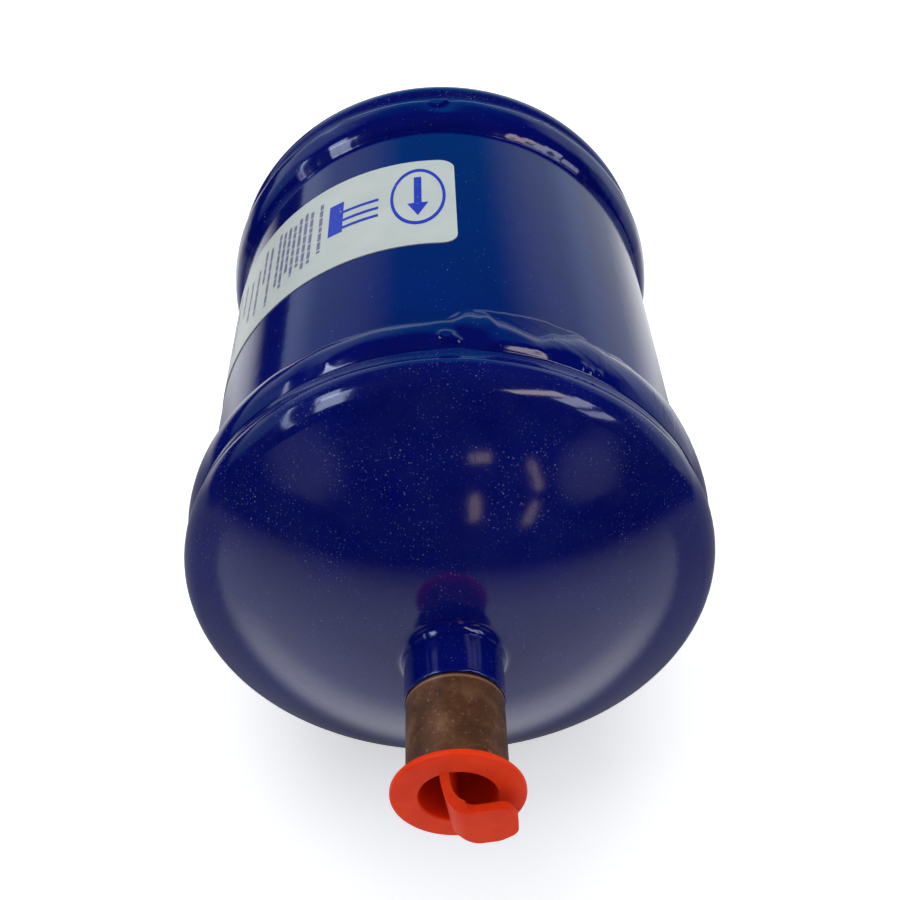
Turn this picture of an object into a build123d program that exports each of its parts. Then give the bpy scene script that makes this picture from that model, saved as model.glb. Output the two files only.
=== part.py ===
from build123d import *
import math
import os

# Liquid-line filter drier, sizes in millimetres.
# The drier's axis lies along Y, its front (outlet) end faces -Y, +Z is up and the origin is its centre.
# Every piece is drawn in a working frame with the axis along Z and +Z out of the end it belongs to,
# and is turned to its end when it is written.

# ---- Driving dimensions -------------------------------------------------------------------------

# Shell: steel tube
shell_radius = 31.86
shell_wall = 1.5
shell_length = 69.4

# End caps: pressed steel, a torispherical crown with a skirt that slips over the shell
cap_wall = 1.6
skirt_wall = 1.15
skirt_lap = 6.7
lap_clearance = 0.05
knuckle_radius = 4.6
crown_radius = 52.0
shoulder_run = 2.2

# Circular lap welds between skirt edge and shell
weld_shell_leg = 3.4
weld_skirt_leg = 4.2
weld_crown = 0.7

# Connectors: copper stubs with a solder socket for 3/8 in tube
connector_radius = 5.71
connector_length = 23.2
connector_bore_radius = 4.3
connector_reach = 17.9
socket_radius = 4.8
socket_depth = 9.5
socket_chamfer = 0.25
coat_thickness = 0.2
coat_end_setback = 11.6
braze_gap = 0.05
braze_fillet_radius = 1.3

# Shipping plugs: soft polyethylene cups with a flange and a bent-over pull tab
plug_flange_radius = 7.457
plug_flange_thickness = 0.95
plug_flange_round = 0.35
plug_depth = 7.5
plug_fit_clearance = 0.05
plug_taper = 0.15
plug_wall = 0.4
plug_floor = 0.8
plug_lip_round = 0.25
tab_thickness = 1.0
tab_offset = 0.85
tab_lean = 10.0
tab_bend_radius = 1.8
tab_bend_rise = 0.5
tab_fold_angle = 98.0
tab_end = 6.6
tab_web_height = 8.8
tab_upper_height = 1.1
tab_lower_height = 4.6
tab_corner_radius = 1.3
tab_slope = 1.25

# Rating label: film wrapped round the shell
label_width = 22.4
label_wrap = 179.2
label_thickness = 0.12
label_centre = -4.0
label_edge_angle = 88.2
label_corner_radius = 2.2

# Inner stack: the desiccant bed fills what is left between the outlet plate and the pressure spring
stack_clearance = 0.1
plate_wall = 1.2
plate_bend_radius = 1.8
plate_rim_clearance = 0.1
outlet_cup_depth = 8.7
spring_plate_rim_height = 4.5
perforation_radius = 2.0
perforation_pitch = 8.0
perforation_rings = 3
screen_thickness = 0.5
outlet_pad_thickness = 4.0
inlet_pad_thickness = 3.0
spring_wire_radius = 1.0
spring_height = 14.9
spring_plate_coil_radius = 24.0
spring_cap_coil_radius = 15.0
spring_turns = 3.5
spring_clearance = 0.05

# ---- Derived sizes and places -------------------------------------------------------------------

shell_inner_radius = shell_radius - shell_wall
shell_end = shell_length / 2

skirt_inner_radius = shell_radius + lap_clearance
skirt_outer_radius = skirt_inner_radius + skirt_wall
skirt_edge = shell_end - skirt_lap
crest_radius = skirt_inner_radius + cap_wall
knuckle_centre_radius = crest_radius - knuckle_radius
inner_knuckle_radius = knuckle_radius - cap_wall

# The outlet plate's rim is held between the shell's end and the inside of the knuckle.
plate_rim_radius = skirt_inner_radius - plate_rim_clearance
rim_top = shell_end + plate_wall
crest_height = rim_top - math.sqrt(inner_knuckle_radius**2 - (plate_rim_radius - knuckle_centre_radius) ** 2)

# The crown's sphere is tangent to the knuckle's torus.
knuckle_angle = math.asin(knuckle_centre_radius / (crown_radius - knuckle_radius))
crown_centre = crest_height - (crown_radius - knuckle_radius) * math.cos(knuckle_angle)

# The braze fillet is tangent to the crown and to the coated neck.
neck_radius = connector_radius + coat_thickness
fillet_centre_radius = neck_radius + braze_fillet_radius
fillet_top = crown_centre + math.sqrt((crown_radius + braze_fillet_radius) ** 2 - fillet_centre_radius**2)

crown_top = crown_centre + crown_radius
connector_mouth = crown_top + connector_reach
coat_end = connector_mouth - coat_end_setback

plug_radius = socket_radius - plug_fit_clearance
plug_mouth_radius = plug_radius - plug_wall

stack_radius = shell_inner_radius - stack_clearance
outlet_plate_face = rim_top - outlet_cup_depth - plate_wall
outlet_screen_face = outlet_plate_face - screen_thickness
outlet_pad_face = outlet_screen_face - outlet_pad_thickness

# The spring stands between the rear crown and the spring plate; its two coil heights are taken outwards.
crown_reach = crown_radius - cap_wall - spring_wire_radius - spring_clearance
cap_coil_height = crown_centre + math.sqrt(crown_reach**2 - spring_cap_coil_radius**2)
plate_coil_height = cap_coil_height - spring_height
spring_plate_face = spring_wire_radius + spring_clearance - plate_coil_height
inlet_screen_face = spring_plate_face + plate_wall
inlet_pad_face = inlet_screen_face + screen_thickness
bed_face = inlet_pad_face + inlet_pad_thickness


def crown_height(radius, wall=0.0):
    """Height of the crown's sphere at a radius from the axis, wall millimetres under its outside."""
    return crown_centre + math.sqrt((crown_radius - wall) ** 2 - radius**2)


def turned(*lines):
    """Turn the outline that the lines close, drawn as radius and height, round the Z axis."""
    outline = make_face([edge for line in lines for edge in line.edges()])
    return revolve(Plane.XZ * outline, Axis.Z)


def disc(radius, low, high):
    """A plain disc on the axis between two heights."""
    return Pos(0, 0, low) * Cylinder(radius, high - low, align=(Align.CENTER, Align.CENTER, Align.MIN))


# ---- Pressure vessel ----------------------------------------------------------------------------


def shell_tube():
    """Plain tube, square at both ends."""
    return disc(shell_radius, -shell_end, shell_end) - disc(shell_inner_radius, -shell_end, shell_end)


def end_cap():
    """Dished cap: ironed skirt, a shoulder that stands proud of it, knuckle, crown and a central hole."""
    hole_radius = connector_radius + braze_gap
    shoulder_start = crest_height - shoulder_run
    shoulder_middle = ((skirt_outer_radius + crest_radius) / 2, crest_height - shoulder_run / 2)
    tangent_radius = crown_radius * math.sin(knuckle_angle)
    inner_tangent_radius = (crown_radius - cap_wall) * math.sin(knuckle_angle)
    knuckle_turn = 90 - math.degrees(knuckle_angle)

    skirt = Line((skirt_outer_radius, skirt_edge), (skirt_outer_radius, shoulder_start))
    swell = TangentArc(skirt @ 1, shoulder_middle, tangent=(0, 1))
    shoulder = TangentArc(swell @ 1, (crest_radius, crest_height), tangent=swell % 1)
    knuckle = CenterArc((knuckle_centre_radius, crest_height), knuckle_radius, 0, knuckle_turn)
    crown = ThreePointArc(
        (tangent_radius, crown_height(tangent_radius)),
        ((tangent_radius + hole_radius) / 2, crown_height((tangent_radius + hole_radius) / 2)),
        (hole_radius, crown_height(hole_radius)),
    )
    hole = Line(crown @ 1, (hole_radius, crown_height(hole_radius, cap_wall)))
    under_crown = ThreePointArc(
        hole @ 1,
        ((inner_tangent_radius + hole_radius) / 2, crown_height((inner_tangent_radius + hole_radius) / 2, cap_wall)),
        (inner_tangent_radius, crown_height(inner_tangent_radius, cap_wall)),
    )
    under_knuckle = CenterArc((knuckle_centre_radius, crest_height), inner_knuckle_radius, 0, knuckle_turn)
    inside = Line((skirt_inner_radius, crest_height), (skirt_inner_radius, skirt_edge))
    edge = Line(inside @ 1, skirt @ 0)
    return turned(skirt, swell, shoulder, knuckle, crown, hole, under_crown, under_knuckle, inside, edge)


def weld_bead():
    """Lap weld: a convex bead that fills the corner between the shell and the skirt's edge."""
    shell_toe = (shell_radius, skirt_edge - weld_shell_leg)
    crest = (skirt_outer_radius + weld_crown, skirt_edge)
    skirt_toe = (skirt_outer_radius, skirt_edge + weld_skirt_leg)
    corner = (skirt_outer_radius, skirt_edge)
    root = (shell_radius, skirt_edge)
    return turned(ThreePointArc(shell_toe, crest, skirt_toe), Polyline(skirt_toe, corner, root, shell_toe))


# ---- Connections --------------------------------------------------------------------------------


def connector():
    """Copper stub: through bore, solder socket with a stop shoulder, and the coated length of its neck."""
    low = connector_mouth - connector_length
    socket_floor = connector_mouth - socket_depth
    outline = Polyline(
        (connector_bore_radius, low),
        (connector_radius, low),
        (connector_radius, fillet_top),
        (neck_radius, fillet_top),
        (neck_radius, coat_end),
        (connector_radius, coat_end),
        (connector_radius, connector_mouth),
        (socket_radius + socket_chamfer, connector_mouth),
        (socket_radius, connector_mouth - socket_chamfer),
        (socket_radius, socket_floor),
        (connector_bore_radius, socket_floor),
        close=True,
    )
    return turned(outline)


def braze_fillet():
    """Concave ring of braze that runs from the crown up to the coated neck."""
    to_centre = math.asin(fillet_centre_radius / (crown_radius + braze_fillet_radius))
    toe_radius = crown_radius * math.sin(to_centre)
    middle_radius = (toe_radius + connector_radius) / 2
    toe = (toe_radius, crown_height(toe_radius))
    foot = (connector_radius, crown_height(connector_radius))
    sweep_angle = 90 - math.degrees(to_centre)
    hollow = CenterArc((fillet_centre_radius, fillet_top), braze_fillet_radius, 180, sweep_angle)
    under = ThreePointArc(toe, (middle_radius, crown_height(middle_radius)), foot)
    inside = Polyline(foot, (connector_radius, fillet_top), (neck_radius, fillet_top))
    return turned(hollow, under, inside)


# ---- Shipping plugs -----------------------------------------------------------------------------


def plug_cup():
    """Tapered cup with a flange; its height zero is the flange's outer face."""
    tip = -plug_flange_thickness - plug_depth
    tip_radius = plug_radius - plug_taper
    lip_radius = plug_mouth_radius + plug_lip_round
    round_radius = plug_flange_radius - plug_flange_round
    outside = Polyline(
        (0, tip),
        (tip_radius, tip),
        (plug_radius, -plug_flange_thickness),
        (round_radius, -plug_flange_thickness),
    )
    back_round = CenterArc((round_radius, plug_flange_round - plug_flange_thickness), plug_flange_round, -90, 90)
    front_round = CenterArc((round_radius, -plug_flange_round), plug_flange_round, 0, 90)
    rim = Line(back_round @ 1, front_round @ 0)
    face = Line(front_round @ 1, (lip_radius, 0))
    lip = CenterArc((lip_radius, -plug_lip_round), plug_lip_round, 90, 90)
    inside = Polyline(
        (plug_mouth_radius, -plug_lip_round),
        (tip_radius - plug_wall, tip + plug_floor),
        (0, tip + plug_floor),
        (0, tip),
    )
    return turned(outside, back_round, rim, front_round, face, lip, inside)


def plug_tab_band():
    """Edge-on outline of the web and tab: up out of the cup, round the fold and out over the flange."""
    tip = -plug_flange_thickness - plug_depth
    inner_bend = tab_bend_radius - tab_thickness / 2
    outer_bend = tab_bend_radius + tab_thickness / 2
    bend_x = tab_bend_radius - tab_offset
    low = tip + plug_floor / 2
    heading = math.radians(90 - tab_fold_angle)
    fold_end = 180 - tab_fold_angle
    bend_centre = Vector(bend_x, tab_bend_rise)
    run = Vector(math.cos(heading), math.sin(heading)) * (tab_end - bend_x)

    outer_arc = CenterArc(bend_centre, outer_bend, fold_end, tab_fold_angle)
    inner_arc = CenterArc(bend_centre, inner_bend, fold_end, tab_fold_angle)
    outer_web = Line((bend_x - outer_bend, low), (bend_x - outer_bend, tab_bend_rise))
    inner_web = Line((bend_x - inner_bend, tab_bend_rise), (bend_x - inner_bend, low))
    foot = Line(inner_web @ 1, outer_web @ 0)
    outer_run = Line(outer_arc @ 0, (outer_arc @ 0) + run)
    inner_run = Line(inner_arc @ 0, (inner_arc @ 0) + run)
    end = Line(outer_run @ 1, inner_run @ 1)
    return make_face(outer_web + outer_arc + outer_run + end + inner_run + inner_arc + inner_web + foot)


def plug_tab_plan():
    """Outline of the web and tab seen from outside: wide at the web, one-sided and rounded over the flange."""
    half_web = tab_web_height / 2
    points = [
        (-plug_flange_radius, half_web),
        (-plug_flange_radius, -half_web),
        (tab_end - 6.4, -0.83 * tab_lower_height),
        (tab_end - 4.2, -tab_lower_height),
        (tab_end - 1.9, -tab_lower_height),
        (tab_end, -0.78 * tab_lower_height),
        (tab_end - 0.2, -0.2 * tab_lower_height),
        (tab_end - 1.4, tab_upper_height),
        (tab_thickness / 2, tab_upper_height),
        (tab_thickness / 2, half_web),
    ]
    outline = make_face(Polyline(*points, close=True))
    corners = outline.vertices().filter_by(lambda v: v.X > 0)
    return fillet(corners, tab_corner_radius)


def plug_tab_slope():
    """Space under the slanting upper edge of the web, which runs from the flange up to the fold."""
    half_web = tab_web_height / 2
    top = half_web / tab_slope
    points = [(-plug_flange_radius, 0), (half_web, 0), (0, top), (-plug_flange_radius, top)]
    return extrude(Plane.YZ * make_face(Polyline(*points, close=True)), plug_flange_radius, both=True)


def plug():
    """One shipping plug, moulded in one piece, its height zero at the flange's outer face."""
    tip = -plug_flange_thickness - plug_depth
    band = Rot(0, 0, tab_lean) * extrude(Plane.XZ * plug_tab_band(), plug_flange_radius, both=True)
    outside = extrude(plug_tab_plan(), plug_flange_radius) & plug_tab_slope()
    inside = disc(plug_radius - plug_taper, tip, 0)
    bore = disc(plug_mouth_radius + plug_wall / 2, tip, 0) & inside
    return plug_cup() + (band & outside) + (band & bore)


# ---- Label --------------------------------------------------------------------------------------


def rating_label():
    """Film label with rounded corners, wrapped round the shell from just right of the top."""
    section = Pos(shell_radius + label_thickness / 2, label_centre) * Rectangle(label_thickness, label_width)
    band = revolve(Plane.XZ * section, Axis.Z, label_wrap)
    corner_edges = [e for e in band.edges() if abs(e.length - label_thickness) < label_thickness / 10]
    return Rot(0, 0, label_edge_angle) * fillet(corner_edges, label_corner_radius)


# ---- Inner stack --------------------------------------------------------------------------------


def perforation_places():
    """Centres of a hexagonal pattern of holes: one in the middle and then ring after ring of six."""
    places = [(0.0, 0.0)]
    for ring in range(1, perforation_rings + 1):
        for side in range(6):
            start = math.radians(60 * side)
            along = start + math.radians(120)
            for step in range(ring):
                x = perforation_pitch * (ring * math.cos(start) + step * math.cos(along))
                y = perforation_pitch * (ring * math.sin(start) + step * math.sin(along))
                places.append((x, y))
    return places


def perforations(low, high):
    """Round bars, one for each hole of a perforated plate."""
    bars = Sketch() + [Pos(x, y) * Circle(perforation_radius) for x, y in perforation_places()]
    return extrude(Pos(0, 0, low) * bars, high - low)


def pressed_plate(points, outer_bend, inner_bend):
    """Perforated plate with a pressed rim: its outline, and the two points of it that are bent round."""
    outline = make_face(Polyline(*points, close=True))
    for corner, radius in ((outer_bend, plate_bend_radius), (inner_bend, plate_bend_radius - plate_wall)):
        vertex = outline.vertices().sort_by_distance(Vector(*corner))[0]
        outline = fillet(vertex, radius)
    low = min(height for _, height in points)
    high = max(height for _, height in points)
    return revolve(Plane.XZ * outline, Axis.Z) - perforations(low, high)


def outlet_plate():
    """Cup that holds the pack; its rim sits on the shell's end under the cap's knuckle."""
    floor = outlet_plate_face
    wall_radius = stack_radius - plate_wall
    points = [
        (0, floor),
        (stack_radius, floor),
        (stack_radius, shell_end),
        (plate_rim_radius, shell_end),
        (plate_rim_radius, rim_top),
        (wall_radius, rim_top),
        (wall_radius, floor + plate_wall),
        (0, floor + plate_wall),
    ]
    return pressed_plate(points, points[1], points[6])


def spring_plate():
    """Follower plate that the spring presses against the pack, with its rim turned towards the spring."""
    wall_radius = stack_radius - plate_wall
    rim_edge = spring_plate_face - spring_plate_rim_height
    points = [
        (0, inlet_screen_face),
        (stack_radius, inlet_screen_face),
        (stack_radius, rim_edge),
        (wall_radius, rim_edge),
        (wall_radius, spring_plate_face),
        (0, spring_plate_face),
    ]
    return pressed_plate(points, points[1], points[4])


def pressure_spring():
    """Conical coil spring between the spring plate and the crown, in the rear end's working frame."""
    cone = math.degrees(math.atan((spring_cap_coil_radius - spring_plate_coil_radius) / spring_height))
    coil = Helix(spring_height / spring_turns, spring_height, spring_plate_coil_radius, cone_angle=cone)
    wire = Plane(origin=coil @ 0, z_dir=coil % 0) * Circle(spring_wire_radius)
    return Pos(0, 0, plate_coil_height) * sweep(wire, path=coil, is_frenet=True)


# ---- Pieces and their places --------------------------------------------------------------------


def at_front(shape):
    """Turn a piece from the working frame so that it faces out of the front end, along -Y."""
    return Rot(90, 0, 0) * shape


def at_rear(shape):
    """Turn a piece from the working frame so that it faces out of the rear end, along +Y."""
    return Rot(0, 0, 180) * at_front(shape)


def at_mouth(shape):
    """Seat a plug with its flange against the mouth of a connector."""
    return Pos(0, 0, connector_mouth + plug_flange_thickness) * shape


front_pieces = {
    "shell_tube": shell_tube(),
    "rating_label": rating_label(),
    "outlet_plate": outlet_plate(),
    "outlet_screen": disc(stack_radius, outlet_screen_face, outlet_plate_face),
    "outlet_pad": disc(stack_radius, outlet_pad_face, outlet_screen_face),
    "desiccant_bed": disc(stack_radius, bed_face, outlet_pad_face),
    "inlet_pad": disc(stack_radius, inlet_pad_face, bed_face),
    "inlet_screen": disc(stack_radius, inlet_screen_face, inlet_pad_face),
    "spring_plate": spring_plate(),
}
rear_pieces = {"pressure_spring": pressure_spring()}
paired_pieces = {
    "end_cap": end_cap(),
    "weld_bead": weld_bead(),
    "braze_fillet": braze_fillet(),
    "connector": connector(),
    "plug": at_mouth(plug()),
}

pieces = {name: at_front(shape) for name, shape in front_pieces.items()}
pieces.update({name: at_rear(shape) for name, shape in rear_pieces.items()})
for name, shape in paired_pieces.items():
    pieces["front_" + name] = at_front(shape)
    pieces["rear_" + name] = at_rear(shape)

os.makedirs("parts", exist_ok=True)
for name, shape in pieces.items():
    export_step(shape, f"parts/{name}.step")
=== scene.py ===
import bmesh
import bpy
import math
from mathutils import Matrix, Vector, noise


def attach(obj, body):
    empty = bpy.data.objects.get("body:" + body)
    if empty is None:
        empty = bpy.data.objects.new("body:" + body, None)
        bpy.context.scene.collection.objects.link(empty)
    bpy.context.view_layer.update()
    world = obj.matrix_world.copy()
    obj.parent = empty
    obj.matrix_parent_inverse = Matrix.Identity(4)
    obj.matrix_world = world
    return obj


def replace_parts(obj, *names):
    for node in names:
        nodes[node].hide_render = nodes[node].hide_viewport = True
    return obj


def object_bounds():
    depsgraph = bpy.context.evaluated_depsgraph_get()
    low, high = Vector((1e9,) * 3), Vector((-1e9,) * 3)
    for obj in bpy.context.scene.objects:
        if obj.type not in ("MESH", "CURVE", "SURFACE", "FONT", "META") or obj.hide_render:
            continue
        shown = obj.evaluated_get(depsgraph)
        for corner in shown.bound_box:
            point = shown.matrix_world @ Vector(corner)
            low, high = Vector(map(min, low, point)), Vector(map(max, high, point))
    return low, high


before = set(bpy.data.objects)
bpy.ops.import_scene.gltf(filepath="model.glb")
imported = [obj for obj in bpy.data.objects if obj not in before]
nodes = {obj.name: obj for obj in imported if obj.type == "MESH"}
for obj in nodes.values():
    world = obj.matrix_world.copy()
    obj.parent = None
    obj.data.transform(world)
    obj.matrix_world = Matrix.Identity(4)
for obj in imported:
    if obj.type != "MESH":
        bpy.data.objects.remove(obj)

cad_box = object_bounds()
scene = bpy.context.scene

# ---- Sizes: millimetres and degrees, turned to metres by MM -------------------------------------
# A place on the drier is (s, angle): s runs along the axis towards an end, which is -Y at the front and
# +Y at the rear, and the angle runs round the axis from the top towards +X.

MM = 0.001

shell_radius = 31.86
skirt_radius = 33.06
skirt_edge = 28.0

# Weld beads: the steps of their skin round the axis and across the run, how far each toe lies from the
# skirt's edge, the rise of the run and its greatest radius.
bead_steps = 1440
bead_across = 44
bead_shell_toe = 3.4
bead_skirt_toe = 4.2
bead_rise = 1.22
bead_limit = 33.85
bead_blend = 0.12

# The closed back of a bead's skin: it starts before the toe, just inside the shell, and ends just outside it.
bead_margin = 0.15
bead_sink = 0.05
bead_root = 0.02

# Drops and hollows on the beads: angle, s, size and height, which is below zero in a hollow.
bead_drops = (
    (-0.6, 30.0, 1.9, -0.5), (-1.7, 30.3, 0.95, 0.95), (0.3, 30.9, 0.5, 0.42), (26.2, 31.2, 0.45, 0.2),
    (28.0, 31.4, 0.4, 0.2), (30.0, 31.2, 0.4, 0.16), (-31.0, 30.6, 1.4, -0.12), (-26.0, 30.9, 0.8, 0.1),
)
drop_reach = 2.5

# Where the front run ends on its own start: the edge of the ledge that the first pass left, and the toe of
# the run over it, each as angle and s. The edge is ragged, and the run is steep, between soft angles.
# Elsewhere the ledge hides under the run, and a run that starts clear of it is wavy.
ledge_rise = 0.5
ledge_width = 0.9
ledge_hidden = 0.1
ledge_clear = 0.2
ledge_line = (
    (-6.0, 24.7), (-2.0, 24.5), (1.5, 23.0), (5.0, 22.4), (18.0, 22.2), (26.0, 22.0), (34.0, 22.7),
    (40.0, 22.1), (47.0, 22.0), (54.0, 20.9), (72.0, 24.7),
)
overlap_line = (
    (-6.0, 24.6), (-1.5, 24.4), (3.0, 22.5), (6.0, 22.9), (9.0, 24.7), (17.0, 26.4), (22.0, 24.4),
    (28.0, 22.5), (34.0, 22.9), (40.0, 22.4), (47.0, 22.2), (54.0, 21.2), (72.0, 24.6),
)
rag_start = (2.0, 12.0)
rag_end = (70.0, 58.0)
steep_start = (4.0, 9.0)
steep_end = (20.0, 15.0)
steep_foot = 0.6
steep_lead = 1.0
steep_climb = 4.2
steep_swell = 1.2
flank_slope = 0.92
flank_foot = 0.1
flank_blend = 0.1

# Unevenness round the axis, as waves: height, length, seed and lean, the degrees it turns in a millimetre.
toe_waves = ((0.16, 5.0, 0.0, 0.0), (0.05, 1.4, 3.0, 0.0))
skirt_toe_waves = ((0.15, 6.0, 7.0, 0.0),)
ledge_waves = ((0.34, 2.8, 21.0, 0.0), (0.14, 1.3, 23.0, 0.0))
pass_waves = ((0.06, 3.4, 33.0, 2.1), (0.025, 1.6, 35.0, -3.3))
crown_waves = ((0.035, 3.6, 37.0, 2.0),)
tube_waves = ((0.012, 8.0, 0.0, 0.0),)
coat_waves = ((0.16, 9.0, 0.0, 0.0), (0.05, 2.5, 5.0, 0.0))

# Copper stubs. A broken edge is a list of how far back from the end and how far down from the surface.
tube_steps = 180
tube_radius = 5.71
tube_bore = 4.3
tube_mouth = 67.469
tube_length = 23.2
mouth_edge = ((0.45, 0.0), (0.2, 0.03), (0.04, 0.16), (0.0, 0.32))
socket_radius = 4.8
socket_depth = 9.5
socket_chamfer = 0.25
socket_foot = (0.3, 0.2)
fillet_top = 50.38

# The paint on their necks: a skin that laps onto the fillet, stands just clear of the copper and has a lip.
# The copper has one ring of points hidden under it, a little before its end.
coat_steps = 360
coat_thickness = 0.2
coat_clear = 0.01
coat_lap = 0.3
coat_hidden = 0.4
coat_end = 55.87
coat_lip = ((0.5, 0.0), (0.2, -0.03), (0.05, 0.03), (0.0, 0.1))

# Label print: s towards the front, then angle; rows of text are angle, first s and last s.
label_radius = shell_radius + 0.12
print_lift = 0.02
badge_place = (-5.3, -7.4)
badge_half_height = 7.6
badge_half_angle = 6.8
badge_line = 0.42
badge_steps = 72
arrow_length = 10.5
arrow_half_angle = 2.6
arrow_head = 3.4
arrow_shaft = 0.36
block_span = (-9.2, -1.0)
block_angles = (-30.6, -26.6)
rule_angles = (-26.6, -17.2)
rule_places = (-2.4, -4.4, -6.6)
rule_width = 0.7
text_rows = (
    (-33.2, -11.4, 1.6), (-36.2, -11.0, 2.6), (-38.1, -11.6, 2.9), (-40.0, -11.4, 1.4), (-41.9, -10.6, 2.7),
    (-43.8, -11.2, 0.6), (-45.7, -11.2, 3.2), (-47.6, -12.0, 1.8), (-51.0, -10.6, 4.4), (-53.6, -11.5, -3.0),
    (-56.4, -8.4, 3.0), (-60.0, -8.0, 2.0), (-64.5, -10.0, -2.5), (-70.0, -12.0, 3.0), (-75.0, -12.0, 1.5),
)
text_half_angle = 0.5
word_gap = 0.35
word_shortest = 1.2
word_spread = 3.0


# ---- Colour and node helpers --------------------------------------------------------------------


def linear(shade):
    """A linear red, green, blue and alpha from an sRGB hex colour, or from a number as a plain grey."""
    if not isinstance(shade, str):
        return (shade, shade, shade, 1.0)
    channels = [int(shade[i : i + 2], 16) / 255 for i in (1, 3, 5)]
    return tuple(c / 12.92 if c <= 0.04045 else ((c + 0.055) / 1.055) ** 2.4 for c in channels) + (1.0,)


def add(tree, kind, settings=(), **links):
    """Add a node, set its properties and sockets, and link its inputs from other nodes.

    Settings is a dictionary of properties, of socket values and of a ramp's stops, each a position and a
    shade. A link's name is the socket's name with underscores for spaces, or in0, in1 and so on for a
    socket's number, and it comes from a node's first output or from the output that is given."""
    node = tree.nodes.new(kind)
    for name, value in dict(settings).items():
        if name == "stops":
            elements = node.color_ramp.elements
            for stop in (0, -1):
                elements[stop].position, elements[stop].color = value[stop][0], linear(value[stop][1])
            for position, shade in value[1:-1]:
                elements.new(position).color = linear(shade)
        elif isinstance(name, int) or name in node.inputs:
            shade = isinstance(value, str) and value.startswith("#")
            node.inputs[name].default_value = linear(value) if shade else value
        else:
            setattr(node, name, value)
    for name, source in links.items():
        key = int(name[2:]) if name[:2] == "in" and name[2:].isdigit() else name.replace("_", " ")
        output = source.outputs[0] if isinstance(source, bpy.types.Node) else source
        tree.links.new(output, node.inputs[key])
    return node


def new_material(name):
    """An empty material: the material, its tree and its object coordinates."""
    material = bpy.data.materials.new(name)
    material.use_nodes = True
    tree = material.node_tree
    tree.nodes.clear()
    return material, tree, add(tree, "ShaderNodeTexCoord").outputs["Object"]


def per_metre(size_mm):
    """A texture's scale from the real size of its pattern."""
    return 1 / (size_mm * MM)


# Settings that many nodes share.
blend = {"data_type": "RGBA"}
times = {"operation": "MULTIPLY"}
larger = {"operation": "MAXIMUM"}
soft = {"interpolation_type": "SMOOTHSTEP"}


# ---- Materials ----------------------------------------------------------------------------------


def gloss_powder_coat(name, dust, roughness=0.1):
    """Blue polyester powder coat, stoved on steel: deep colour under a hard gloss skin with a faint orange
    peel that breaks up its highlights, and pale dust, thickest on the upper side."""
    material, tree, place = new_material(name)
    depth = add(tree, "ShaderNodeTexNoise", {"Scale": per_metre(14.0), "Detail": 3.0}, Vector=place)
    color = add(tree, "ShaderNodeValToRGB", {"stops": ((0.3, "#01075a"), (0.7, "#010a67"))}, in0=depth)
    film = add(tree, "ShaderNodeTexNoise", {"Scale": per_metre(5.0), "Detail": 5.0, "Roughness": 0.6},
               Vector=place)
    film = add(tree, "ShaderNodeValToRGB", {"stops": ((0.3, 0.0), (0.7, 0.05 * dust))}, in0=film)
    color = add(tree, "ShaderNodeMix", {**blend, 7: "#66788c"}, in0=film, in6=color).outputs[2]

    # Dust lies in patches, thicker higher up, as specks of two sizes.
    height = add(tree, "ShaderNodeSeparateXYZ", in0=place).outputs["Z"]
    upper = {"From Min": -0.03, "From Max": 0.02, "To Min": 0.25}
    upper = add(tree, "ShaderNodeMapRange", upper, Value=height)
    patches = add(tree, "ShaderNodeTexNoise", {"Scale": per_metre(7.0), "Detail": 3.0}, Vector=place)
    patches = add(tree, "ShaderNodeValToRGB", {"stops": ((0.4, 0.2), (0.62, 1.0))}, in0=patches)
    patches = add(tree, "ShaderNodeMath", times, in0=patches, in1=upper)
    specks = []
    for size, share, strength in ((0.36, 1.3, 0.8), (0.52, 0.7, 0.9)):
        cells = add(tree, "ShaderNodeTexVoronoi", {"Scale": per_metre(size)}, Vector=place).outputs
        dot = {"stops": ((0.08, strength), (0.26, 0.0))}
        dot = add(tree, "ShaderNodeValToRGB", dot, in0=cells["Distance"])
        luck = add(tree, "ShaderNodeSeparateColor", in0=cells["Color"])
        chosen = {"stops": ((max(0.0, 0.96 - share * dust), 0.0), (1.0, 0.9))}
        chosen = add(tree, "ShaderNodeValToRGB", chosen, in0=luck)
        dot = add(tree, "ShaderNodeMath", times, in0=dot, in1=chosen)
        specks.append(add(tree, "ShaderNodeMath", times, in0=dot, in1=patches))
    speck = add(tree, "ShaderNodeMath", larger, in0=specks[0], in1=specks[1])
    color = add(tree, "ShaderNodeMix", {**blend, 7: "#6c7494"}, in0=speck, in6=color).outputs[2]
    rough = add(tree, "ShaderNodeMapRange", {"To Min": roughness, "To Max": 0.6}, Value=speck)

    peel = add(tree, "ShaderNodeTexNoise", {"Scale": per_metre(2.6), "Detail": 1.5}, Vector=place)
    skin = add(tree, "ShaderNodeBump", {"Distance": 0.012 * MM}, Height=peel)
    skin = add(tree, "ShaderNodeBump", {"Distance": 0.008 * MM}, Height=speck, Normal=skin)
    coat = add(tree, "ShaderNodeBsdfPrincipled", {"IOR": 1.5}, Base_Color=color, Roughness=rough, Normal=skin)
    add(tree, "ShaderNodeOutputMaterial", Surface=coat)
    return material


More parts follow.
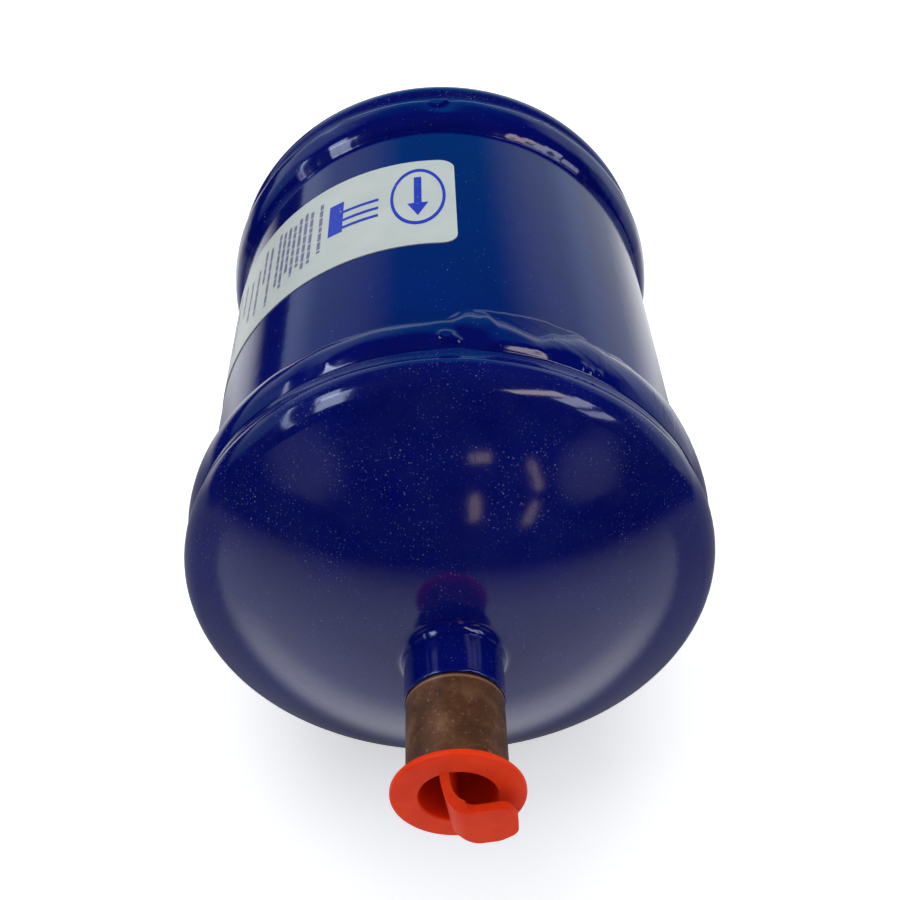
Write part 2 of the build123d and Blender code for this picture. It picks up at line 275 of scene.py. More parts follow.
def tarnished_copper():
    """Drawn copper tube, heated and left to tarnish: an even brown oxide that is only half metallic, cloudy
    and finely scuffed, with dark pin spots, and a painted highlight and shadow where the paint ends."""
    material, tree, place = new_material("tarnished_copper")
    blotch = add(tree, "ShaderNodeTexNoise", {"Scale": per_metre(3.0), "Detail": 5.0, "Roughness": 0.6},
                 Vector=place)
    color = add(tree, "ShaderNodeValToRGB", {"stops": ((0.3, "#5a3a29"), (0.5, "#74492f"), (0.7, "#946a48"))},
                in0=blotch)
    fleck = add(tree, "ShaderNodeTexNoise", {"Scale": per_metre(0.45), "Detail": 3.0, "Roughness": 0.6},
                Vector=place)
    end = add(tree, "ShaderNodeSeparateXYZ", in0=place).outputs["Y"]
    end = add(tree, "ShaderNodeMath", {"operation": "ABSOLUTE"}, in0=end)
    edge_highlight_and_shadow = {"From Min": (coat_end - 0.2) * MM, "From Max": (coat_end + 0.9) * MM}
    edge_highlight_and_shadow = add(tree, "ShaderNodeMapRange", edge_highlight_and_shadow, Value=end)
    # Rubbed flecks and dark pin spots, then, where the paint ends, a painted highlight as a bright ring on
    # the copper and a painted shadow as a dark edge under the paint's lip.
    layers = (
        (fleck, "#c49a78", ((0.6, 0.0), (0.72, 0.5))),
        (fleck, "#2c1a12", ((0.26, 0.7), (0.36, 0.0))),
        (edge_highlight_and_shadow, "#c29472", ((0.4, 0.0), (0.5, 0.75), (0.62, 0.75), (0.8, 0.0))),
        (edge_highlight_and_shadow, "#1c100c", ((0.3, 0.9), (0.46, 0.0))),
    )
    for source, shade, stops in layers:
        share = add(tree, "ShaderNodeValToRGB", {"stops": stops}, in0=source)
        color = add(tree, "ShaderNodeMix", {**blend, 7: shade}, in0=share, in6=color).outputs[2]
    rough = add(tree, "ShaderNodeMapRange", {"To Min": 0.56, "To Max": 0.36}, Value=blotch)

    scuffs = {"Scale": (1.0, 0.2, 1.0), "Rotation": (0.0, 0.0, 0.5)}
    scuffs = add(tree, "ShaderNodeMapping", scuffs, Vector=place)
    scuffs = add(tree, "ShaderNodeTexNoise", {"Scale": per_metre(0.4), "Detail": 3.0}, Vector=scuffs)
    scuffs = add(tree, "ShaderNodeBump", {"Distance": 0.012 * MM}, Height=scuffs)
    tube = add(tree, "ShaderNodeBsdfPrincipled", {"Metallic": 0.6}, Base_Color=color, Roughness=rough,
               Normal=scuffs)
    add(tree, "ShaderNodeOutputMaterial", Surface=tube)
    return material


def moulded_polyethylene():
    """Soft orange-red polyethylene, injection moulded: waxy, with light that soaks in at thin edges and a
    fine mould grain."""
    material, tree, place = new_material("moulded_polyethylene")
    cloud = add(tree, "ShaderNodeTexNoise", {"Scale": per_metre(3.0), "Detail": 3.0}, Vector=place)
    color = add(tree, "ShaderNodeValToRGB", {"stops": ((0.3, "#e43202"), (0.7, "#f23e04"))}, in0=cloud)
    grain = add(tree, "ShaderNodeTexNoise", {"Scale": per_metre(0.25)}, Vector=place)
    grain = add(tree, "ShaderNodeBump", {"Distance": 0.006 * MM}, Height=grain)
    wax = {"Roughness": 0.46, "IOR": 1.51, "Specular IOR Level": 0.15, "Subsurface Weight": 0.5,
           "Subsurface Scale": 0.002, "Subsurface Radius": (1.0, 0.16, 0.04)}
    plug = add(tree, "ShaderNodeBsdfPrincipled", wax, Base_Color=color, Normal=grain)
    add(tree, "ShaderNodeOutputMaterial", Surface=plug)
    return material


def printed_film():
    """White polyester label film, satin laminated: off-white with a slight unevenness where it was rubbed
    down over the paint."""
    material, tree, place = new_material("printed_film")
    cloud = add(tree, "ShaderNodeTexNoise", {"Scale": per_metre(7.0), "Detail": 3.0}, Vector=place)
    color = add(tree, "ShaderNodeValToRGB", {"stops": ((0.3, "#bdc6c3"), (0.7, "#c8d0cd"))}, in0=cloud)
    rubbed = add(tree, "ShaderNodeTexNoise", {"Scale": per_metre(5.0), "Detail": 1.0}, Vector=place)
    rubbed = add(tree, "ShaderNodeBump", {"Distance": 0.01 * MM}, Height=rubbed)
    film = add(tree, "ShaderNodeBsdfPrincipled", {"Roughness": 0.34, "IOR": 1.5}, Base_Color=color,
               Normal=rubbed)
    add(tree, "ShaderNodeOutputMaterial", Surface=film)
    return material


def printing_ink(name, code):
    """Screen-printed ink on film: flat strong colour, worn thin in small spots where the film shows pale."""
    material, tree, place = new_material(name)
    wear = add(tree, "ShaderNodeTexNoise", {"Scale": per_metre(0.5), "Detail": 3.0, "Roughness": 0.6},
               Vector=place)
    color = add(tree, "ShaderNodeValToRGB", {"stops": ((0.25, "#b4bac0"), (0.36, code))}, in0=wear)
    ink = add(tree, "ShaderNodeBsdfPrincipled", {"Roughness": 0.36, "IOR": 1.5}, Base_Color=color)
    add(tree, "ShaderNodeOutputMaterial", Surface=ink)
    return material


def pressed_steel():
    """Plain pressed steel plate: dull grey with faint rolling lines."""
    material, tree, place = new_material("pressed_steel")
    lines = add(tree, "ShaderNodeMapping", {"Scale": (1.0, 1.0, 0.05)}, Vector=place)
    grain = add(tree, "ShaderNodeTexNoise", {"Scale": per_metre(0.4), "Detail": 3.0}, Vector=lines)
    color = add(tree, "ShaderNodeValToRGB", {"stops": ((0.3, "#8c8d8f"), (0.7, "#b4b5b7"))}, in0=grain)
    rolled = add(tree, "ShaderNodeBump", {"Distance": 0.005 * MM}, Height=grain)
    plate = add(tree, "ShaderNodeBsdfPrincipled", {"Metallic": 1.0, "Roughness": 0.4}, Base_Color=color,
                Normal=rolled)
    add(tree, "ShaderNodeOutputMaterial", Surface=plate)
    return material


def spring_wire():
    """Drawn and oiled spring steel: dark grey with a close draw texture."""
    material, tree, place = new_material("spring_wire")
    grain = add(tree, "ShaderNodeTexNoise", {"Scale": per_metre(0.3), "Detail": 3.0}, Vector=place)
    color = add(tree, "ShaderNodeValToRGB", {"stops": ((0.3, "#55575c"), (0.7, "#7d7f85"))}, in0=grain)
    wire = add(tree, "ShaderNodeBsdfPrincipled", {"Metallic": 1.0, "Roughness": 0.32}, Base_Color=color)
    add(tree, "ShaderNodeOutputMaterial", Surface=wire)
    return material


def woven_screen():
    """Woven steel wire mesh: bright wires 0.9 mm apart over gaps painted dark as shade, coarser than the real
    0.4 mm so that it shows."""
    material, tree, place = new_material("woven_screen")
    parts = add(tree, "ShaderNodeSeparateXYZ", in0=place).outputs
    wires = []
    for across in (parts["X"], parts["Z"]):
        turn = add(tree, "ShaderNodeMath", {**times, 1: math.tau * per_metre(0.9)}, in0=across)
        wires.append(add(tree, "ShaderNodeMath", {"operation": "SINE"}, in0=turn))
    height = add(tree, "ShaderNodeMath", larger, in0=wires[0], in1=wires[1])
    # Painted shade: dark low between the wires, pale steel high on them.
    color = add(tree, "ShaderNodeValToRGB", {"stops": ((0.1, "#2a2a2c"), (0.6, "#b0b2b5"))}, in0=height)
    weave = add(tree, "ShaderNodeBump", {"Distance": 0.15 * MM}, Height=height)
    mesh = add(tree, "ShaderNodeBsdfPrincipled", {"Metallic": 1.0, "Roughness": 0.35}, Base_Color=color,
               Normal=weave)
    add(tree, "ShaderNodeOutputMaterial", Surface=mesh)
    return material


def fibre_felt():
    """Felted glass fibre pad: off-white, matt and hairy."""
    material, tree, place = new_material("fibre_felt")
    fibres = add(tree, "ShaderNodeTexNoise", {"Scale": per_metre(0.6), "Detail": 6.0, "Roughness": 0.7},
                 Vector=place)
    color = add(tree, "ShaderNodeValToRGB", {"stops": ((0.3, "#c9c3b2"), (0.7, "#eeebe0"))}, in0=fibres)
    hairs = add(tree, "ShaderNodeBump", {"Distance": 0.3 * MM}, Height=fibres)
    felt = add(tree, "ShaderNodeBsdfPrincipled", {"Roughness": 0.95, "Sheen Weight": 0.3}, Base_Color=color,
               Normal=hairs)
    add(tree, "ShaderNodeOutputMaterial", Surface=felt)
    return material


def desiccant_beads():
    """Packed molecular-sieve beads, 2 mm: tan round grains, with painted shade that is lightest at each
    grain's middle and dark in the gaps.
    """
    material, tree, place = new_material("desiccant_beads")
    grains = add(tree, "ShaderNodeTexVoronoi", {"Scale": per_metre(2.0)}, Vector=place)
    # Painted shade: lighter at each grain's middle, darker towards its edge and dark in the gaps between
    # grains.
    color = {"stops": ((0.1, "#d8c8a6"), (0.55, "#b59f78"), (0.8, "#5c4c36"))}
    color = add(tree, "ShaderNodeValToRGB", color, in0=grains)
    height = add(tree, "ShaderNodeValToRGB", {"stops": ((0.0, 1.0), (0.8, 0.0))}, in0=grains)
    height = add(tree, "ShaderNodeBump", {"Distance": 0.7 * MM}, Height=height)
    bed = add(tree, "ShaderNodeBsdfPrincipled", {"Roughness": 0.8}, Base_Color=color, Normal=height)
    add(tree, "ShaderNodeOutputMaterial", Surface=bed)
    return material


# ---- Mesh helpers -------------------------------------------------------------------------------


def place_at(end, s, angle, radius):
    """World place in metres of a point given by its distance along the axis, its angle and its radius."""
    turn = math.radians(angle)
    return Vector((radius * math.sin(turn), end * s, radius * math.cos(turn))) * MM


def finish_piece(name, mesh, material):
    """Link a mesh as a piece that rides on the canister and takes its finish from a slot."""
    piece = bpy.data.objects.new(name, mesh)
    scene.collection.objects.link(piece)
    mesh.materials.append(material)
    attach(piece, "canister")
    return piece


def swept_piece(name, rings, material):
    """A piece swept round the axis: rings is a list of closed sections, each a list of points."""
    mesh = bpy.data.meshes.new(name)
    count = len(rings[0])
    points = [point for ring in rings for point in ring]
    faces = []
    for i in range(len(rings)):
        j = (i + 1) % len(rings)
        for a in range(count):
            b = (a + 1) % count
            faces.append((i * count + a, i * count + b, j * count + b, j * count + a))
    mesh.from_pydata(points, [], faces)
    form = bmesh.new()
    form.from_mesh(mesh)
    bmesh.ops.recalc_face_normals(form, faces=form.faces)
    form.to_mesh(mesh)
    form.free()
    mesh.shade_smooth()
    return finish_piece(name, mesh, material)


def smoothstep(low, high, value):
    """Soft step from 0 at low to 1 at high."""
    t = min(1.0, max(0.0, (value - low) / (high - low)))
    return t * t * (3 - 2 * t)


def waves(parts, angle, seed=0.0, s=0.0):
    """Sum of repeatable waves, each a height, a length, a seed and a lean, that join up after a full turn."""
    total = 0.0
    for height, length, own_seed, lean in parts:
        turn = math.radians(angle + lean * s)
        reach = shell_radius / length
        spot = Vector((math.cos(turn) * reach, math.sin(turn) * reach, seed + own_seed))
        total += height * noise.noise(spot)
    return total


# ---- Weld beads ---------------------------------------------------------------------------------


def along(points, value):
    """Soft line through (place, value) points, level beyond its ends."""
    if value <= points[0][0]:
        return points[0][1]
    for (low, first), (high, last) in zip(points, points[1:]):
        if value <= high:
            return first + (last - first) * smoothstep(low, high, value)
    return points[-1][1]


def soft_larger(a, b, width):
    """The larger of two radii, with a soft change from one to the other."""
    return (a + b + math.sqrt((a - b) ** 2 + width**2)) / 2


def bead_radius(s, angle, toe, skirt_toe, ledge, steep, blunt):
    """Radius of a painted bead: a convex run from toe to skirt, with the thin ledge of a first pass beside
    it. Where it is steep, its skirt side drops in a blunt flank. t is 0 at the toe and 1 at the skirt."""
    t = (s - toe) / (skirt_toe - toe)
    hump = shell_radius + (skirt_radius - shell_radius) * t + bead_rise * (1 - abs(2 * t - 1) ** blunt)
    wave = waves(pass_waves, angle, s=s)
    low = shell_radius + ledge_rise * smoothstep(ledge, ledge + ledge_width, s) * (1 + wave)
    if toe > ledge + ledge_clear:
        hump += wave * smoothstep(0.0, 0.3, t) * smoothstep(1.0, 0.8, t)
    if steep > 0:
        foot = shell_radius + steep_foot
        full = foot + (bead_limit - foot) * smoothstep(toe - steep_lead, toe + steep_climb, s)
        flank = skirt_radius + flank_slope * (skirt_toe - flank_foot - s)
        full = wave * steep_swell - soft_larger(-full, -flank, flank_blend)
        hump += steep * smoothstep(0.0, 0.3, t) * (max(full, skirt_radius) - hump)
    hump += waves(crown_waves, angle, s=s) * smoothstep(0.1, 0.4, t) * smoothstep(1.0, 0.7, t)
    radius = soft_larger(hump, low, bead_blend)
    for place, at, size, height in bead_drops:
        reach = math.hypot((angle - place) * math.radians(skirt_radius), s - at) / size
        if reach < drop_reach:
            radius += height * math.exp(-reach * reach)
    return min(bead_limit, radius)


def weld_bead(name, end, seed, blunt, overlap):
    """The visible skin of a painted lap weld, from the shell over its crest to the skirt, closed at its
    root. Where the run ends on its own start it swells past its edge and leaves a ragged ledge."""
    rings = []
    for i in range(bead_steps):
        angle = 360 * i / bead_steps
        signed = angle - 360 if angle > 180 else angle
        uneven = waves(toe_waves, angle, seed)
        toe = skirt_edge - bead_shell_toe - uneven
        ledge = toe + ledge_hidden
        steep = 0.0
        skirt_toe = skirt_edge + bead_skirt_toe + waves(skirt_toe_waves, angle, seed)
        if overlap:
            rag = smoothstep(*rag_start, signed) * smoothstep(*rag_end, signed)
            ledge = along(ledge_line, signed) + rag * waves(ledge_waves, angle)
            toe = along(overlap_line, signed) - uneven * (1 - rag)
            steep = smoothstep(*steep_start, signed) * smoothstep(*steep_end, signed)
        low = min(toe, ledge) - bead_margin
        ring = [place_at(end, skirt_toe, angle, shell_radius + bead_root),
                place_at(end, low, angle, shell_radius - bead_sink)]
        for k in range(bead_across + 1):
            s = low + (skirt_toe - low) * k / bead_across
            ring.append(place_at(end, s, angle, bead_radius(s, signed, toe, skirt_toe, ledge, steep, blunt)))
        rings.append(ring)
    return swept_piece(name, rings, paint)


# ---- Connections --------------------------------------------------------------------------------


def copper_tube(name, end, seed):
    """Copper stub with its bore, its socket and its softly broken mouth edges."""
    low = tube_mouth - tube_length
    floor = tube_mouth - socket_depth
    outline = [(low, tube_bore), (low, tube_radius), (fillet_top, tube_radius)]
    outline += [(coat_end - coat_hidden, tube_radius)]
    outline += [(tube_mouth - back, tube_radius - down) for back, down in mouth_edge]
    outline += [
        (tube_mouth, socket_radius + socket_chamfer),
        (tube_mouth - socket_chamfer, socket_radius),
        (floor + socket_foot[0], socket_radius),
        (floor, socket_radius - socket_foot[1]),
        (floor, tube_bore),
    ]
    rings = []
    for i in range(tube_steps):
        angle = 360 * i / tube_steps
        dent = waves(tube_waves, angle, seed)
        rings.append([place_at(end, s, angle, radius + dent) for s, radius in outline])
    return swept_piece(name, rings, copper)


def coated_neck(name, end, seed):
    """Paint on the neck: a skin that ends in an uneven masked edge, thick at its lip."""
    inside = tube_radius + coat_clear
    outside = tube_radius + coat_thickness
    rings = []
    for i in range(coat_steps):
        angle = 360 * i / coat_steps
        edge = coat_end + waves(coat_waves, angle, seed)
        outline = [(fillet_top - coat_lap, inside), (fillet_top - coat_lap, outside), (fillet_top, outside),
                   ((fillet_top + edge) / 2, outside)]
        outline += [(edge - back, outside - down) for back, down in coat_lip] + [(edge, inside)]
        rings.append([place_at(end, s, angle, radius) for s, radius in outline])
    return swept_piece(name, rings, dull_paint)


# ---- Label print --------------------------------------------------------------------------------


def print_patch(name, outlines, material):
    """Flat printed shapes on the label: each outline is a strip, given as its two sides with as many
    points, each (s, angle)."""
    mesh = bpy.data.meshes.new(name)
    points = []
    faces = []
    for side_a, side_b in outlines:
        start = len(points)
        count = len(side_a)
        points += [place_at(-1, s, angle, label_radius + print_lift) for s, angle in side_a + side_b]
        for k in range(count - 1):
            faces.append((start + k, start + k + 1, start + count + k + 1, start + count + k))
    mesh.from_pydata(points, [], faces)
    for face in mesh.polygons:
        if face.normal.dot(Vector((face.center.x, 0, face.center.z))) < 0:
            face.flip()
    mesh.shade_smooth()
    return finish_piece(name, mesh, material)


def bar(s_low, s_high, angle_low, angle_high):
    """A printed rectangle as a strip that follows the label's curve in steps of about a degree."""
    steps = max(2, math.ceil(angle_high - angle_low))
    angles = [angle_low + (angle_high - angle_low) * k / steps for k in range(steps + 1)]
    return [(s_low, a) for a in angles], [(s_high, a) for a in angles]


def badge_ring(s, angle):
    """The printed ring round the arrow; its inside is its outside scaled down by the line at its sides."""
    sides = []
    for scale in (1, 1 - badge_line / (math.radians(badge_half_angle) * label_radius)):
        high, wide = scale * badge_half_height, scale * badge_half_angle
        turns = [math.tau * k / badge_steps for k in range(badge_steps + 1)]
        sides.append([(s + high * math.sin(t), angle + wide * math.cos(t)) for t in turns])
    return sides


def flow_arrow(s, angle):
    """A printed arrow that points out of the front end, the way the refrigerant flows."""
    tip = s + arrow_length / 2
    head = tip - arrow_head
    half_shaft = arrow_half_angle * arrow_shaft
    shaft = bar(s - arrow_length / 2, head, angle - half_shaft, angle + half_shaft)
    base = [(head, angle - arrow_half_angle), (head, angle), (head, angle + arrow_half_angle)]
    return [shaft, (base, [(tip, angle)] * 3)]


def label_print():
    """Generic print: a ringed flow arrow, a solid block with thin rules, and rows of text as plain bars."""
    blue = [badge_ring(*badge_place)] + flow_arrow(*badge_place) + [bar(*block_span, *block_angles)]
    blue += [bar(s, s + rule_width, *rule_angles) for s in rule_places]
    print_patch("label_print_blue", blue, ink_blue)

    words = []
    for row, (angle, s, last) in enumerate(text_rows):
        word = 0
        while s < last:
            luck = abs(noise.noise(Vector((row * 3.7, word * 1.9, 0.5))))
            stop = min(s + word_shortest + word_spread * luck, last)
            words.append(bar(s, stop, angle - text_half_angle, angle + text_half_angle))
            s = stop + word_gap
            word += 1
    print_patch("label_print_grey", words, ink_grey)


# ---- Build --------------------------------------------------------------------------------------

paint = gloss_powder_coat("gloss_powder_coat", 0.06)
dusty_paint = gloss_powder_coat("dusty_powder_coat", 0.6)
dull_paint = gloss_powder_coat("rubbed_powder_coat", 0.22, 0.14)
copper = tarnished_copper()
plastic = moulded_polyethylene()
film = printed_film()
ink_blue = printing_ink("printing_ink_blue", "#1430bc")
ink_grey = printing_ink("printing_ink_grey", "#76759a")
steel = pressed_steel()
wire = spring_wire()
screen = woven_screen()
felt = fibre_felt()
beads = desiccant_beads()

finishes = {
    "shell_tube": paint,
    "front_end_cap": dusty_paint,
    "rear_end_cap": dusty_paint,
    "front_braze_fillet": paint,
    "rear_braze_fillet": paint,
    "rating_label": film,
    "front_plug": plastic,
    "rear_plug": plastic,
    "outlet_plate": steel,
    "spring_plate": steel,
    "pressure_spring": wire,
    "outlet_screen": screen,
    "inlet_screen": screen,
    "outlet_pad": felt,
    "inlet_pad": felt,
    "desiccant_bed": beads,
}
for node, material in finishes.items():
    nodes[node].data.materials.clear()
    nodes[node].data.materials.append(material)

for name, end, seed, blunt in (("front", -1, 2.0, 2.0), ("rear", 1, 40.0, 3.2)):
    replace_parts(weld_bead(name + "_bead_painted", end, seed, blunt, overlap=end < 0), name + "_weld_bead")
    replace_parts(copper_tube(name + "_copper_tube", end, seed), name + "_connector")
    coated_neck(name + "_neck_coat", end, seed)
label_print()

# ---- Stage: metres and degrees ------------------------------------------------------------------
# Azimuths run from +Y towards +X. A pair is where a soft step starts and where it is full.

floor_reach = 4
floor_gap = 0.0004

# The floor's light: how far it is lifted to white for the camera, and how far for the gloss.
camera_lift = 0.5
gloss_lift = 0.15
far_blank = (0.18, 0.5)

# The floor in the gloss, with painted light and shade: a lit sheet round a point that fades into painted dark
# for the room's shade, a painted highlight as a bright line across it in front of the drier that bends away
# at its sides, a painted shadow of the drier as a dim band from there back past it, and a painted pool of
# light as a bright side behind to the right. The line's stops run over its span.
sheet_centre = (0.0, 0.03, cad_box[0][2])
sheet_fade = (0.1, 0.28)
line_bend = 2.8
line_span = (-0.09, -0.03)
line_stops = ((0.2, 0.0), (0.56, 0.25), (0.67, 1.0), (0.74, 1.0), (0.82, 0.0))
line_ends = (0.07, 0.03)
line_lift = 0.62
band_edge = (-0.044, -0.038)
band_back = (0.08, 0.03)
band_share = 0.7
bright_way = (0.85, 0.53, 0.0)
bright_edge = (0.12, 0.24)
bright_behind = (-0.02, 0.1)


def white_floor():
    """Matt white floor that keeps the soft shadow. The camera and clear rays see it lifted to white, and
    blank white far off. The gloss sees painted light and shade: a lit sheet that fades into a painted dim
    room."""
    material, tree, place = new_material("white_floor")
    path = add(tree, "ShaderNodeLightPath").outputs
    gloss = path["Is Glossy Ray"]
    plain = add(tree, "ShaderNodeMath", larger, in0=path["Is Camera Ray"], in1=path["Is Transmission Ray"])
    spot = add(tree, "ShaderNodeSeparateXYZ", in0=place).outputs
    side = add(tree, "ShaderNodeMath", times, in0=spot["X"], in1=spot["X"])
    line = {"operation": "MULTIPLY_ADD", 1: line_bend}
    line = add(tree, "ShaderNodeMath", line, in0=side, in2=spot["Y"])

    # The lit floor, with a painted highlight as its bright line.
    lift = add(tree, "ShaderNodeMath", {**times, 1: gloss_lift}, in0=gloss)
    lift = add(tree, "ShaderNodeMath", {"operation": "MULTIPLY_ADD", 1: camera_lift}, in0=plain, in2=lift)
    bright = {"From Min": line_span[0], "From Max": line_span[1]}
    bright = add(tree, "ShaderNodeMapRange", bright, Value=line)
    bright = add(tree, "ShaderNodeValToRGB", {"stops": line_stops}, in0=bright)
    middle = {**soft, "From Min": line_ends[0] ** 2, "From Max": line_ends[1] ** 2}
    middle = add(tree, "ShaderNodeMapRange", middle, Value=side)
    bright = add(tree, "ShaderNodeMath", times, in0=bright, in1=middle)
    bright = add(tree, "ShaderNodeMath", times, in0=bright, in1=gloss)
    lift = add(tree, "ShaderNodeMath", {"operation": "MULTIPLY_ADD", 1: line_lift}, in0=bright, in2=lift)
    card = add(tree, "ShaderNodeBsdfPrincipled", {"Base Color": "#eef1f4", "Roughness": 0.9})
    white = add(tree, "ShaderNodeEmission", {"Color": "#ffffff"}, Strength=lift)
    lit = add(tree, "ShaderNodeAddShader", in0=card, in1=white)

    # How much of the painted dim room and of the painted shadow band beside the drier the gloss sees, and its
    # colour, which a painted bright side lightens behind to the right.
    sheet = {"operation": "DISTANCE", 1: sheet_centre}
    sheet = add(tree, "ShaderNodeVectorMath", sheet, in0=place).outputs["Value"]
    fade = add(tree, "ShaderNodeMapRange", {**soft, "From Min": sheet_fade[0], "From Max": sheet_fade[1]},
               Value=sheet)
    # Painted shadow: a dim band beside and under the drier.
    band = {**soft, "From Min": band_edge[0], "From Max": band_edge[1], "To Max": band_share}
    band = add(tree, "ShaderNodeMapRange", band, Value=line)
    near = {**soft, "From Min": band_back[0], "From Max": band_back[1]}
    near = add(tree, "ShaderNodeMapRange", near, Value=spot["Y"])
    band = add(tree, "ShaderNodeMath", times, in0=band, in1=near)
    fade = add(tree, "ShaderNodeMath", larger, in0=fade, in1=band)
    fade = add(tree, "ShaderNodeMath", times, in0=fade, in1=gloss)
    # Painted light: a bright side of the floor behind to the right.
    across = {"operation": "DOT_PRODUCT", 1: bright_way}
    across = add(tree, "ShaderNodeVectorMath", across, in0=place).outputs["Value"]
    across = add(tree, "ShaderNodeMapRange", {**soft, "From Min": bright_edge[0], "From Max": bright_edge[1]},
                 Value=across)
    behind = {**soft, "From Min": bright_behind[0], "From Max": bright_behind[1]}
    behind = add(tree, "ShaderNodeMapRange", behind, Value=spot["Y"])
    across = add(tree, "ShaderNodeMath", times, in0=across, in1=behind)
    dim = add(tree, "ShaderNodeMix", {**blend, 6: "#12151f", 7: "#bcc6cc"}, in0=across).outputs[2]
    dim = add(tree, "ShaderNodeEmission", Color=dim)
    seen = add(tree, "ShaderNodeMixShader", in0=fade, in1=lit, in2=dim)

    # Blank white far off.
    far = add(tree, "ShaderNodeMapRange", {**soft, "From Min": far_blank[0], "From Max": far_blank[1]},
              Value=sheet)
    far = add(tree, "ShaderNodeMath", times, in0=far, in1=plain)
    blank = add(tree, "ShaderNodeEmission", {"Color": "#ffffff"})
    seen = add(tree, "ShaderNodeMixShader", in0=far, in1=seen, in2=blank)
    add(tree, "ShaderNodeOutputMaterial", Surface=seen)

    mesh = bpy.data.meshes.new("floor")
    corners = ((-1, -1), (1, -1), (1, 1), (-1, 1))
    level = cad_box[0][2] - floor_gap
    mesh.from_pydata([(x * floor_reach, y * floor_reach, level) for x, y in corners], [], [(0, 1, 2, 3)])
    mesh.materials.append(material)
    floor = bpy.data.objects.new("floor", mesh)
    scene.collection.objects.link(floor)


def direction(azimuth, elevation):
    """Unit vector for an azimuth and an elevation."""
    a, e = math.radians(azimuth), math.radians(elevation)
    return Vector((math.sin(a) * math.cos(e), math.cos(a) * math.cos(e), math.sin(e)))


# Soft boxes that only the gloss sees: azimuth, elevation, width, height, roll, radiance and colour.
gloss_boxes = {
    "window_left_high": (-99, 47, 28, 12, -15, 7, "#d6e4ff"),
    "window_left_back": (-74, 45, 15, 9, 12, 7, "#d6e4ff"),
    "window_left_low": (-88, 29, 46, 2.5, 0, 6, "#d6e4ff"),
    "window_right_high": (124, 53, 32, 7, 0, 6, "#fff0de"),
    "window_right_middle": (108, 43, 26, 9, 0, 5.5, "#e6ecff"),
    "window_right_low": (113, 32, 24, 6, 0, 5, "#dce6ff"),
    "front_spot_high": (171, 19.5, 6, 2.5, 0, 3, "#ffe2b4"),
    "front_spot": (173, 5, 3, 8, 0, 2.5, "#ffe2b4"),
    "front_streak_high": (155.5, 12, 2.2, 9, 8, 2.6, "#ffe2b4"),
    "front_streak_low": (158.5, 0, 2.2, 10, -28, 2.6, "#ffe2b4"),
}
box_distance = 1.2

# The soft box that lights the drier and that the gloss doesn't see, in the same terms.
soft_top = (-20, 70, 60, 60, 0, 1.5, "#ffffff")
top_distance = 1.0


def soft_box(name, azimuth, elevation, width, height, roll, radiance, code, distance):
    """A soft box aimed at the drier, with its size as the drier sees it and its radiance."""
    forward = direction(azimuth, elevation)
    light = bpy.data.lights.new(name, "AREA")
    light.shape = "RECTANGLE"
    light.size = 2 * distance * math.tan(math.radians(width / 2))
    light.size_y = 2 * distance * math.tan(math.radians(height / 2))
    light.energy = radiance * math.pi * light.size * light.size_y
    light.color = linear(code)[:3]
    box = bpy.data.objects.new(name, light)
    scene.collection.objects.link(box)
    box.rotation_euler = (-forward).to_track_quat("-Z", "Y").to_euler()
    box.rotation_euler.rotate_axis("Z", math.radians(roll))
    box.location = forward * distance
    return box


# The room in the gloss: soft round patches as azimuth, elevation, inner and outer radius and colour, then a
# pale glow low down behind the drier, between heights and depths of a unit view vector.
room_shade = "#101426"
room_patches = (
    (0, 12, 15, 37, "#147fb2"),
    (32, 6, 8, 28, "#a4b6bc"),
    (-34, 12, 8, 26, "#8fa4b4"),
    (-37, -3, 3, 7, "#5a4a46"),
    (139, 8, 3, 12, "#a0a4b2"),
    (-138, 8, 3, 14, "#989cac"),
    (-70, 14, 6, 20, "#6f98b0"),
    (70, -2, 8, 26, "#8ca4b4"),
)
glow_shade = "#b8cce0"
glow_height = (0.2, 0.06)
glow_depth = (0.3, 0.7)
soft_level = 0.56


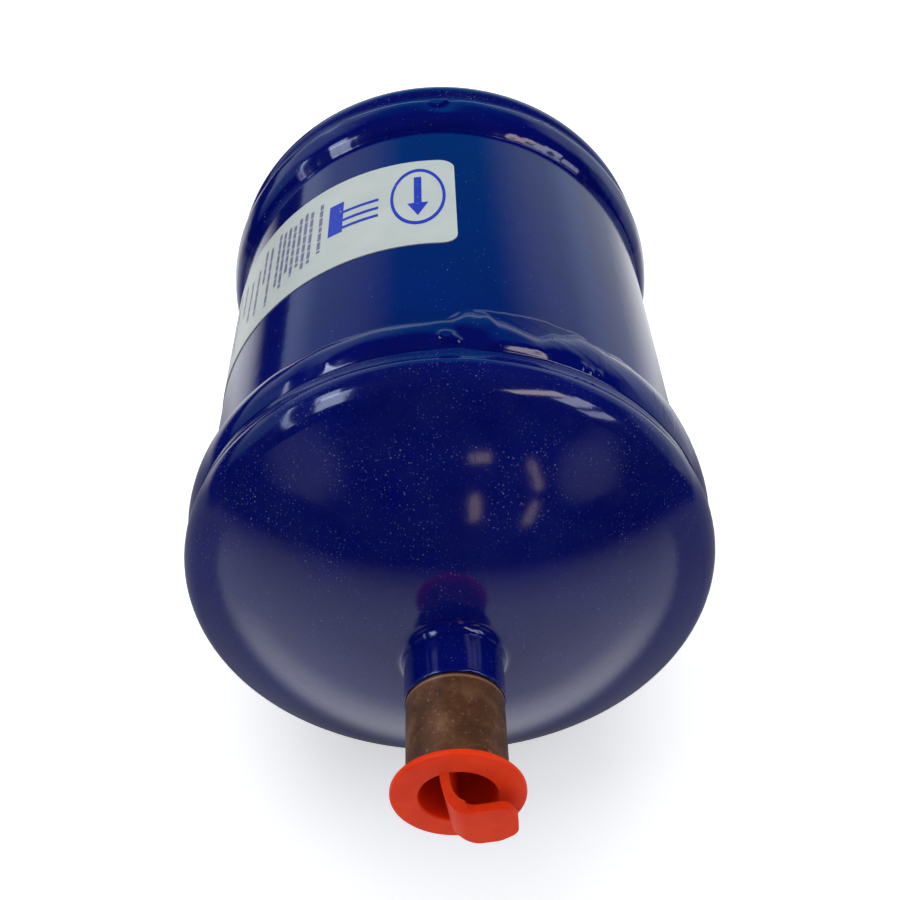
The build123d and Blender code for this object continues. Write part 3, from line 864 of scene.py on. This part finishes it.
def plain_world():
    """White to the camera, a room with a dark side in the gloss, and a plain soft level for all else."""
    world = bpy.data.worlds.new("plain_world")
    scene.world = world
    world.use_nodes = True
    tree = world.node_tree
    tree.nodes.clear()
    view = add(tree, "ShaderNodeTexCoord").outputs["Generated"]
    room = add(tree, "ShaderNodeRGB")
    room.outputs[0].default_value = linear(room_shade)
    for azimuth, elevation, inner, outer, shade in room_patches:
        aim = {"operation": "DOT_PRODUCT", 1: direction(azimuth, elevation)}
        aim = add(tree, "ShaderNodeVectorMath", aim, in0=view).outputs["Value"]
        edge = {"From Min": math.cos(math.radians(outer)), "From Max": math.cos(math.radians(inner))}
        share = add(tree, "ShaderNodeMapRange", {**soft, **edge}, Value=aim)
        room = add(tree, "ShaderNodeMix", {**blend, 7: shade}, in0=share, in6=room).outputs[2]
    parts = add(tree, "ShaderNodeSeparateXYZ", in0=view).outputs
    low = {**soft, "From Min": glow_height[0], "From Max": glow_height[1]}
    low = add(tree, "ShaderNodeMapRange", low, Value=parts["Z"])
    behind = {**soft, "From Min": glow_depth[0], "From Max": glow_depth[1]}
    behind = add(tree, "ShaderNodeMapRange", behind, Value=parts["Y"])
    glow = add(tree, "ShaderNodeMath", times, in0=low, in1=behind)
    room = add(tree, "ShaderNodeMix", {**blend, 7: glow_shade}, in0=glow, in6=room).outputs[2]

    path = add(tree, "ShaderNodeLightPath").outputs
    plain = add(tree, "ShaderNodeMath", larger, in0=path["Is Camera Ray"], in1=path["Is Transmission Ray"])
    level = add(tree, "ShaderNodeBackground", {"Color": "#ffffff", "Strength": soft_level})
    white = add(tree, "ShaderNodeBackground", {"Color": "#ffffff"})
    gloss = add(tree, "ShaderNodeBackground", Color=room)
    seen = add(tree, "ShaderNodeMixShader", in0=path["Is Glossy Ray"], in1=level, in2=gloss)
    seen = add(tree, "ShaderNodeMixShader", in0=plain, in1=seen, in2=white)
    add(tree, "ShaderNodeOutputWorld", Surface=seen)


white_floor()
for name, numbers in gloss_boxes.items():
    box = soft_box(name, *numbers, box_distance)
    box.visible_diffuse = False
    box.visible_transmission = False
soft_box("soft_top", *soft_top, top_distance).visible_glossy = False
plain_world()

# ---- Camera -------------------------------------------------------------------------------------

camera_place = (-0.00531, -0.14840, 0.11622)
camera_right = (0.99948, -0.02475, 0.02087)
camera_up = (0.0, 0.64465, 0.76448)
camera_back = (-0.03238, -0.76408, 0.64431)
camera_lens = 50.72


def front_camera():
    """Looks down on the outlet end from in front and above, close to the drier."""
    camera = bpy.data.objects.new("camera", bpy.data.cameras.new("camera"))
    scene.collection.objects.link(camera)
    turn = Matrix((camera_right, camera_up, camera_back)).transposed().to_4x4()
    camera.matrix_world = Matrix.Translation(camera_place) @ turn
    camera.data.lens = camera_lens
    camera.data.sensor_width = 36
    camera.data.clip_start = 0.01
    scene.camera = camera


front_camera()
scene.view_settings.view_transform = "Standard"
